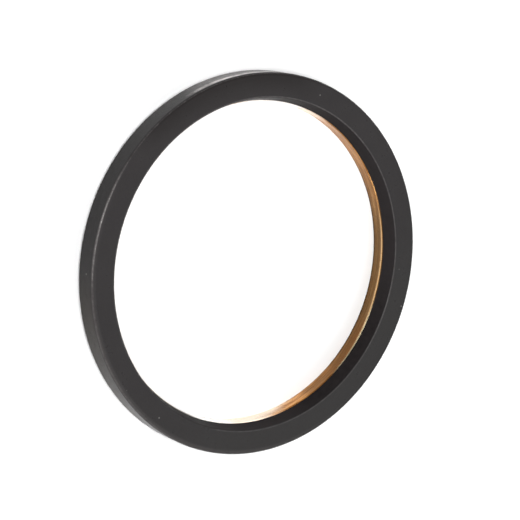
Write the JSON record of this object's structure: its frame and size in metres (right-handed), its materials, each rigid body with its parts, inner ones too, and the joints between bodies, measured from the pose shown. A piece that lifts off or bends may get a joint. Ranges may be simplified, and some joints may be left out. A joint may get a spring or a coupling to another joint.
{
  "type": "oil seal",
  "caption": "Slim rubber ring seal with a flat front face and a tapered mouth, moulded round a plain metal ring that lines the rear of its bore.",
  "frame": {"origin": "on the axis, in the plane of the rear face, which the seal lies on", "axes": "+Z along the axis, from the rear face to the front face; X and Y are any two directions across the ring"},
  "size_m": [0.1004, 0.1004, 0.008],
  "materials": {
    "rubber": "matte moulded rubber",
    "bronze": "fine turned, satin, slightly toned"
  },
  "bodies": {
    "root": {"rubber_body": "rubber", "metal_ring": "bronze"}
  },
  "joints": []
}
